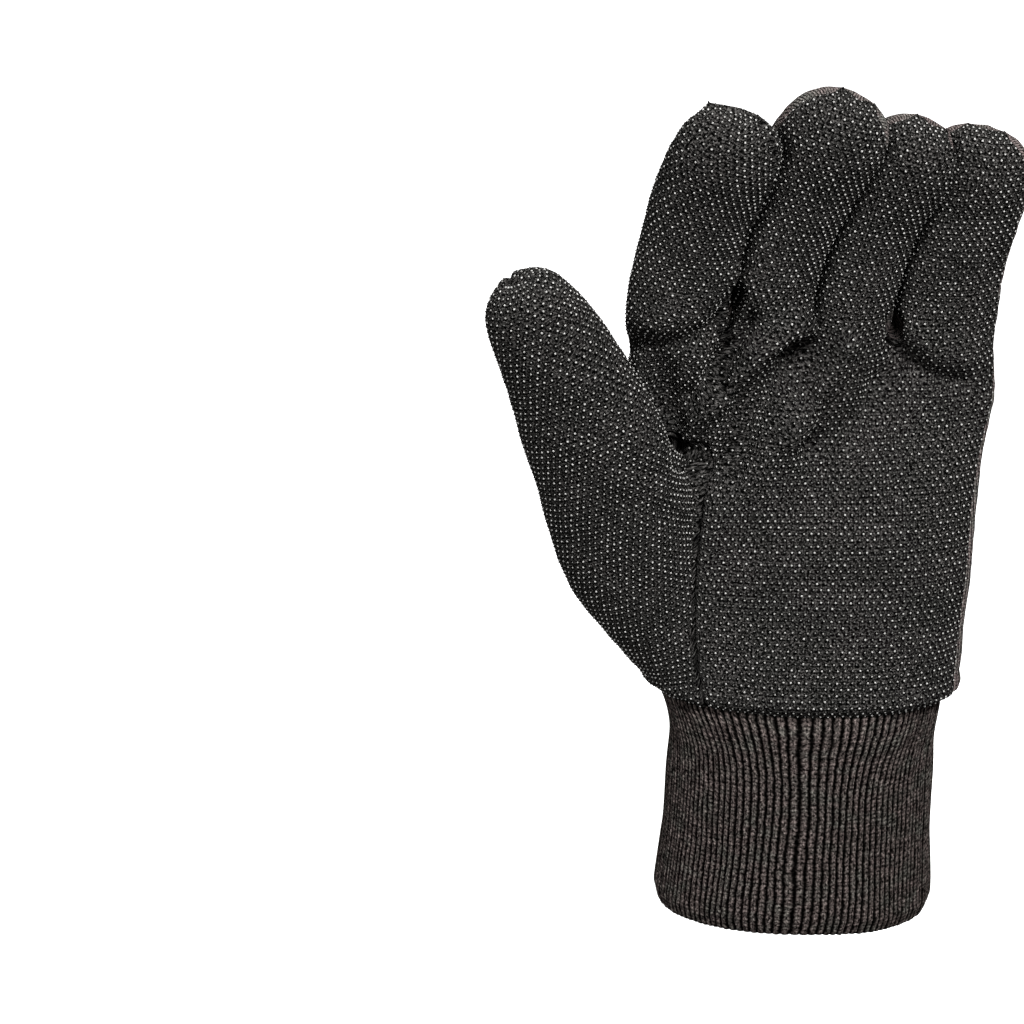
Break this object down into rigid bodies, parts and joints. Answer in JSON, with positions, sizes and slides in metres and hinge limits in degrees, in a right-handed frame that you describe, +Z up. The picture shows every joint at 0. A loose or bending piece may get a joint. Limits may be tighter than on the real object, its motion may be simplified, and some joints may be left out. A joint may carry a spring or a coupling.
{
  "type": "jersey work glove",
  "caption": "Left-hand knit cotton jersey work glove: dotted grip palm, fingers and thumb, plain jersey back panels and a rib-knit wrist cuff, shaped as on a hand.",
  "frame": {"origin": "centre of the wrist opening at the hem of the cuff", "axes": "+Z up the hand to the fingertips, -Y in front of the palm, -X to the thumb side"},
  "size_m": [0.1388, 0.0804, 0.2406],
  "materials": {
    "rib_knit": "matt rib knit",
    "dotted_jersey": "matt charcoal jersey with small pale grip dots",
    "brown_jersey": "matt heather brown jersey"
  },
  "bodies": {
    "root": {"rib_cuff": "rib_knit", "grip_palm": "dotted_jersey", "grip_thumb": "dotted_jersey", "back_middle": "brown_jersey", "back_ring": "brown_jersey", "back_little": "brown_jersey"}
  },
  "joints": []
}
